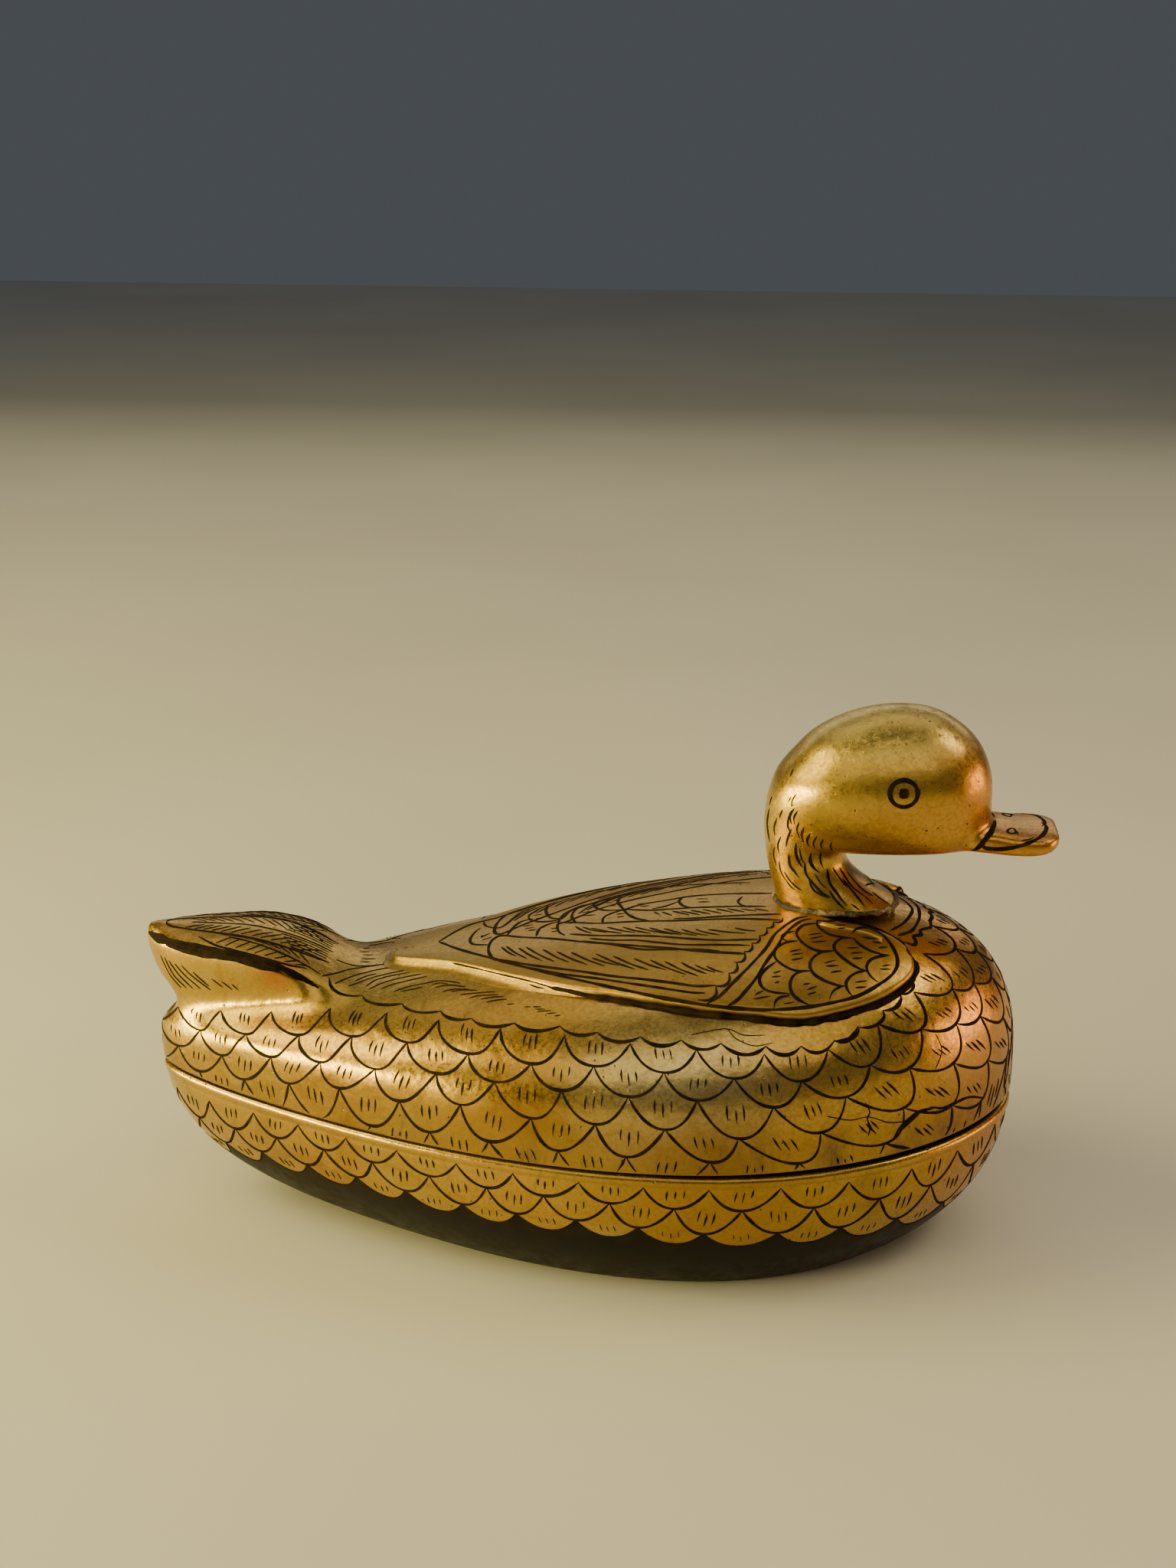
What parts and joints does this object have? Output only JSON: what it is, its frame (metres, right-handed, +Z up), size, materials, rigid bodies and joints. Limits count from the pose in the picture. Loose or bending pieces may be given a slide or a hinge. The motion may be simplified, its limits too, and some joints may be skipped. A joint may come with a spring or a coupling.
{
  "type": "lacquered wooden duck box",
  "caption": "Carved lidded box shaped as a resting duck: the back, tail and head lift off a shallow bowl; gilt lacquer with painted feather scales.",
  "frame": {"origin": "on the resting plane, under the middle of the overall length, on the centre line", "axes": "+X from tail to bill, +Y to the duck's left, +Z up"},
  "size_m": [0.28, 0.144, 0.1673],
  "materials": {
    "box_base": "gold leaf and black lacquer over carved wood",
    "rim_collar": "black lacquered",
    "lid_shell": "gold leaf over lacquered carved wood, painted feathers",
    "head_and_neck": "gold leaf over lacquered carved wood",
    "neck_dowel": "bare wood",
    "neck_putty": "matt lacquer putty of sap and sawdust"
  },
  "bodies": {
    "base": {"box_base": "box_base", "rim_collar": "rim_collar"},
    "lid": {"lid_shell": "lid_shell", "head_and_neck": "head_and_neck", "neck_dowel": "neck_dowel", "neck_putty": "neck_putty"}
  },
  "joints": [
    {"name": "lid_lift", "type": "slide", "parent": "base", "child": "lid", "axis": [0, 0, 1], "range_m": [0, 0.12]}
  ]
}
